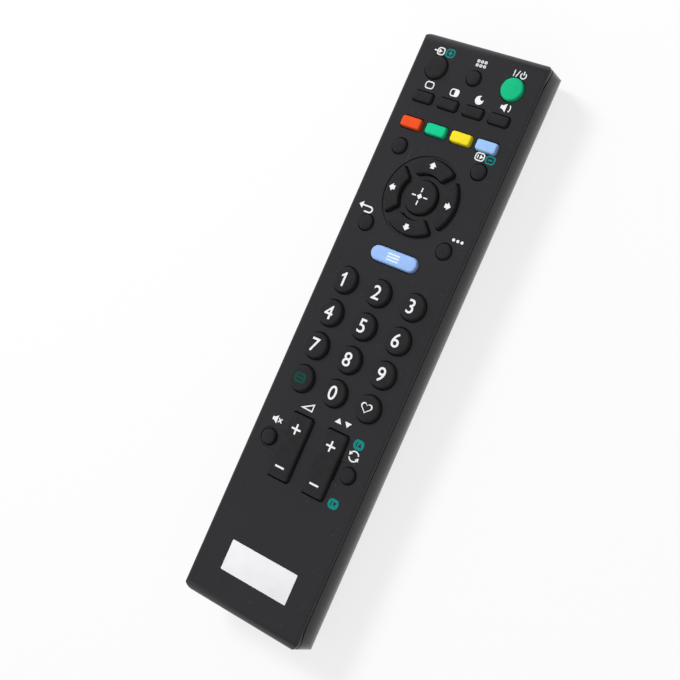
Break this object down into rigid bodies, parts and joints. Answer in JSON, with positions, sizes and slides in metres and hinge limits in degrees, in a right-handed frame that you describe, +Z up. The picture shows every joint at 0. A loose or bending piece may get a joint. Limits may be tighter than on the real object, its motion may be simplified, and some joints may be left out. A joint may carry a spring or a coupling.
{
  "type": "tv remote control",
  "caption": "Slim infrared TV remote control with rubber keys, two rocker keys, a direction pad and a sliding battery cover",
  "frame": {"origin": "middle of the footprint, on the plane that the back rests on", "axes": "+X to the right of the face, +Y towards the infrared end, +Z up out of the face"},
  "size_m": [0.0456, 0.1916, 0.0218],
  "materials": {
    "face_plastic": "satin charcoal",
    "back_plastic": "fine-textured dark grey",
    "window_plastic": "polished, nearly black",
    "mat_rubber": "dull grey silicone",
    "board_laminate": "green solder resist",
    "lamp_resin": "clear moulded resin",
    "chip_resin": "matt black moulding",
    "resonator_ceramic": "dipped orange coating",
    "capacitor_can": "sleeved can",
    "resistor_ceramic": "black film on white ceramic",
    "cell_can": "bare sleeve with a metal button",
    "contact_metal": "nickel plated strip",
    "spring_metal": "nickel plated wire",
    "screw_metal": "zinc plated",
    "label_paper": "bare white paper, glued on",
    "key_rubber": "matt dark grey silicone",
    "key_power_green": "matt green silicone",
    "key_red": "matt red silicone",
    "key_green": "matt green silicone",
    "key_yellow": "matt yellow silicone",
    "key_blue": "matt pale blue silicone",
    "key_menu_blue": "matt light blue silicone"
  },
  "bodies": {
    "case": {"top_shell": "face_plastic", "bottom_shell": "back_plastic", "ir_window": "window_plastic", "keypad_mat": "mat_rubber", "circuit_board": "board_laminate", "ir_lamp": "lamp_resin", "remote_chip": "chip_resin", "resonator": "resonator_ceramic", "capacitor": "capacitor_can", "board_resistors": "resistor_ceramic", "battery_cell_left": "cell_can", "battery_cell_right": "cell_can", "contact_plus": "contact_metal", "contact_minus": "contact_metal", "contact_bridge": "contact_metal", "spring_bridge": "spring_metal", "spring_minus": "spring_metal", "case_screw": "screw_metal", "face_label": "label_paper"},
    "battery_cover": {"battery_cover": "back_plastic"},
    "key_input": {"key_input": "key_rubber"},
    "key_format": {"key_format": "key_rubber"},
    "key_picture_size": {"key_picture_size": "key_rubber"},
    "key_split_screen": {"key_split_screen": "key_rubber"},
    "key_sleep": {"key_sleep": "key_rubber"},
    "key_audio": {"key_audio": "key_rubber"},
    "key_info": {"key_info": "key_rubber"},
    "key_text": {"key_text": "key_rubber"},
    "key_return": {"key_return": "key_rubber"},
    "key_tools": {"key_tools": "key_rubber"},
    "key_enter": {"key_enter": "key_rubber"},
    "key_right": {"key_right": "key_rubber"},
    "key_up": {"key_up": "key_rubber"},
    "key_left": {"key_left": "key_rubber"},
    "key_down": {"key_down": "key_rubber"},
    "key_subtitle": {"key_subtitle": "key_rubber"},
    "key_favourite": {"key_favourite": "key_rubber"},
    "key_mute": {"key_mute": "key_rubber"},
    "key_jump": {"key_jump": "key_rubber"},
    "key_0": {"key_0": "key_rubber"},
    "key_1": {"key_1": "key_rubber"},
    "key_2": {"key_2": "key_rubber"},
    "key_3": {"key_3": "key_rubber"},
    "key_4": {"key_4": "key_rubber"},
    "key_5": {"key_5": "key_rubber"},
    "key_6": {"key_6": "key_rubber"},
    "key_7": {"key_7": "key_rubber"},
    "key_8": {"key_8": "key_rubber"},
    "key_9": {"key_9": "key_rubber"},
    "key_power": {"key_power": "key_power_green"},
    "key_red": {"key_red": "key_red"},
    "key_green": {"key_green": "key_green"},
    "key_yellow": {"key_yellow": "key_yellow"},
    "key_blue": {"key_blue": "key_blue"},
    "key_menu": {"key_menu": "key_menu_blue"},
    "rocker_volume": {"rocker_volume": "key_rubber"},
    "rocker_programme": {"rocker_programme": "key_rubber"}
  },
  "joints": [
    {"name": "battery_cover_slide", "type": "slide", "parent": "case", "child": "battery_cover", "axis": [0, -1, 0], "range_m": [0, 0.052]},
    {"name": "key_input_press", "type": "slide", "parent": "case", "child": "key_input", "axis": [0, 0, -1], "range_m": [0, 0.001], "stiffness_N_per_m": 1500},
    {"name": "key_format_press", "type": "slide", "parent": "case", "child": "key_format", "axis": [0, 0, -1], "range_m": [0, 0.001], "stiffness_N_per_m": 1500},
    {"name": "key_picture_size_press", "type": "slide", "parent": "case", "child": "key_picture_size", "axis": [0, 0, -1], "range_m": [0, 0.001], "stiffness_N_per_m": 1500},
    {"name": "key_split_screen_press", "type": "slide", "parent": "case", "child": "key_split_screen", "axis": [0, 0, -1], "range_m": [0, 0.001], "stiffness_N_per_m": 1500},
    {"name": "key_sleep_press", "type": "slide", "parent": "case", "child": "key_sleep", "axis": [0, 0, -1], "range_m": [0, 0.001], "stiffness_N_per_m": 1500},
    {"name": "key_audio_press", "type": "slide", "parent": "case", "child": "key_audio", "axis": [0, 0, -1], "range_m": [0, 0.001], "stiffness_N_per_m": 1500},
    {"name": "key_info_press", "type": "slide", "parent": "case", "child": "key_info", "axis": [0, 0, -1], "range_m": [0, 0.001], "stiffness_N_per_m": 1500},
    {"name": "key_text_press", "type": "slide", "parent": "case", "child": "key_text", "axis": [0, 0, -1], "range_m": [0, 0.001], "stiffness_N_per_m": 1500},
    {"name": "key_return_press", "type": "slide", "parent": "case", "child": "key_return", "axis": [0, 0, -1], "range_m": [0, 0.001], "stiffness_N_per_m": 1500},
    {"name": "key_tools_press", "type": "slide", "parent": "case", "child": "key_tools", "axis": [0, 0, -1], "range_m": [0, 0.001], "stiffness_N_per_m": 1500},
    {"name": "key_enter_press", "type": "slide", "parent": "case", "child": "key_enter", "axis": [0, 0, -1], "range_m": [0, 0.001], "stiffness_N_per_m": 1500},
    {"name": "key_right_press", "type": "slide", "parent": "case", "child": "key_right", "axis": [0, 0, -1], "range_m": [0, 0.001], "stiffness_N_per_m": 1500},
    {"name": "key_up_press", "type": "slide", "parent": "case", "child": "key_up", "axis": [0, 0, -1], "range_m": [0, 0.001], "stiffness_N_per_m": 1500},
    {"name": "key_left_press", "type": "slide", "parent": "case", "child": "key_left", "axis": [0, 0, -1], "range_m": [0, 0.001], "stiffness_N_per_m": 1500},
    {"name": "key_down_press", "type": "slide", "parent": "case", "child": "key_down", "axis": [0, 0, -1], "range_m": [0, 0.001], "stiffness_N_per_m": 1500},
    {"name": "key_subtitle_press", "type": "slide", "parent": "case", "child": "key_subtitle", "axis": [0, 0, -1], "range_m": [0, 0.001], "stiffness_N_per_m": 1500},
    {"name": "key_favourite_press", "type": "slide", "parent": "case", "child": "key_favourite", "axis": [0, 0, -1], "range_m": [0, 0.001], "stiffness_N_per_m": 1500},
    {"name": "key_mute_press", "type": "slide", "parent": "case", "child": "key_mute", "axis": [0, 0, -1], "range_m": [0, 0.001], "stiffness_N_per_m": 1500},
    {"name": "key_jump_press", "type": "slide", "parent": "case", "child": "key_jump", "axis": [0, 0, -1], "range_m": [0, 0.001], "stiffness_N_per_m": 1500},
    {"name": "key_0_press", "type": "slide", "parent": "case", "child": "key_0", "axis": [0, 0, -1], "range_m": [0, 0.001], "stiffness_N_per_m": 1500},
    {"name": "key_1_press", "type": "slide", "parent": "case", "child": "key_1", "axis": [0, 0, -1], "range_m": [0, 0.001], "stiffness_N_per_m": 1500},
    {"name": "key_2_press", "type": "slide", "parent": "case", "child": "key_2", "axis": [0, 0, -1], "range_m": [0, 0.001], "stiffness_N_per_m": 1500},
    {"name": "key_3_press", "type": "slide", "parent": "case", "child": "key_3", "axis": [0, 0, -1], "range_m": [0, 0.001], "stiffness_N_per_m": 1500},
    {"name": "key_4_press", "type": "slide", "parent": "case", "child": "key_4", "axis": [0, 0, -1], "range_m": [0, 0.001], "stiffness_N_per_m": 1500},
    {"name": "key_5_press", "type": "slide", "parent": "case", "child": "key_5", "axis": [0, 0, -1], "range_m": [0, 0.001], "stiffness_N_per_m": 1500},
    {"name": "key_6_press", "type": "slide", "parent": "case", "child": "key_6", "axis": [0, 0, -1], "range_m": [0, 0.001], "stiffness_N_per_m": 1500},
    {"name": "key_7_press", "type": "slide", "parent": "case", "child": "key_7", "axis": [0, 0, -1], "range_m": [0, 0.001], "stiffness_N_per_m": 1500},
    {"name": "key_8_press", "type": "slide", "parent": "case", "child": "key_8", "axis": [0, 0, -1], "range_m": [0, 0.001], "stiffness_N_per_m": 1500},
    {"name": "key_9_press", "type": "slide", "parent": "case", "child": "key_9", "axis": [0, 0, -1], "range_m": [0, 0.001], "stiffness_N_per_m": 1500},
    {"name": "key_power_press", "type": "slide", "parent": "case", "child": "key_power", "axis": [0, 0, -1], "range_m": [0, 0.001], "stiffness_N_per_m": 1500},
    {"name": "key_red_press", "type": "slide", "parent": "case", "child": "key_red", "axis": [0, 0, -1], "range_m": [0, 0.001], "stiffness_N_per_m": 1500},
    {"name": "key_green_press", "type": "slide", "parent": "case", "child": "key_green", "axis": [0, 0, -1], "range_m": [0, 0.001], "stiffness_N_per_m": 1500},
    {"name": "key_yellow_press", "type": "slide", "parent": "case", "child": "key_yellow", "axis": [0, 0, -1], "range_m": [0, 0.001], "stiffness_N_per_m": 1500},
    {"name": "key_blue_press", "type": "slide", "parent": "case", "child": "key_blue", "axis": [0, 0, -1], "range_m": [0, 0.001], "stiffness_N_per_m": 1500},
    {"name": "key_menu_press", "type": "slide", "parent": "case", "child": "key_menu", "axis": [0, 0, -1], "range_m": [0, 0.001], "stiffness_N_per_m": 1500},
    {"name": "rocker_volume_tilt", "type": "hinge", "parent": "case", "child": "rocker_volume", "pos_m": [-0.00675, -0.0411, 0.0184], "axis": [1, 0, 0], "range_deg": [-4, 4], "stiffness_Nm_per_rad": 0.17},
    {"name": "rocker_programme_tilt", "type": "hinge", "parent": "case", "child": "rocker_programme", "pos_m": [0.00675, -0.0411, 0.0184], "axis": [1, 0, 0], "range_deg": [-4, 4], "stiffness_Nm_per_rad": 0.17}
  ]
}
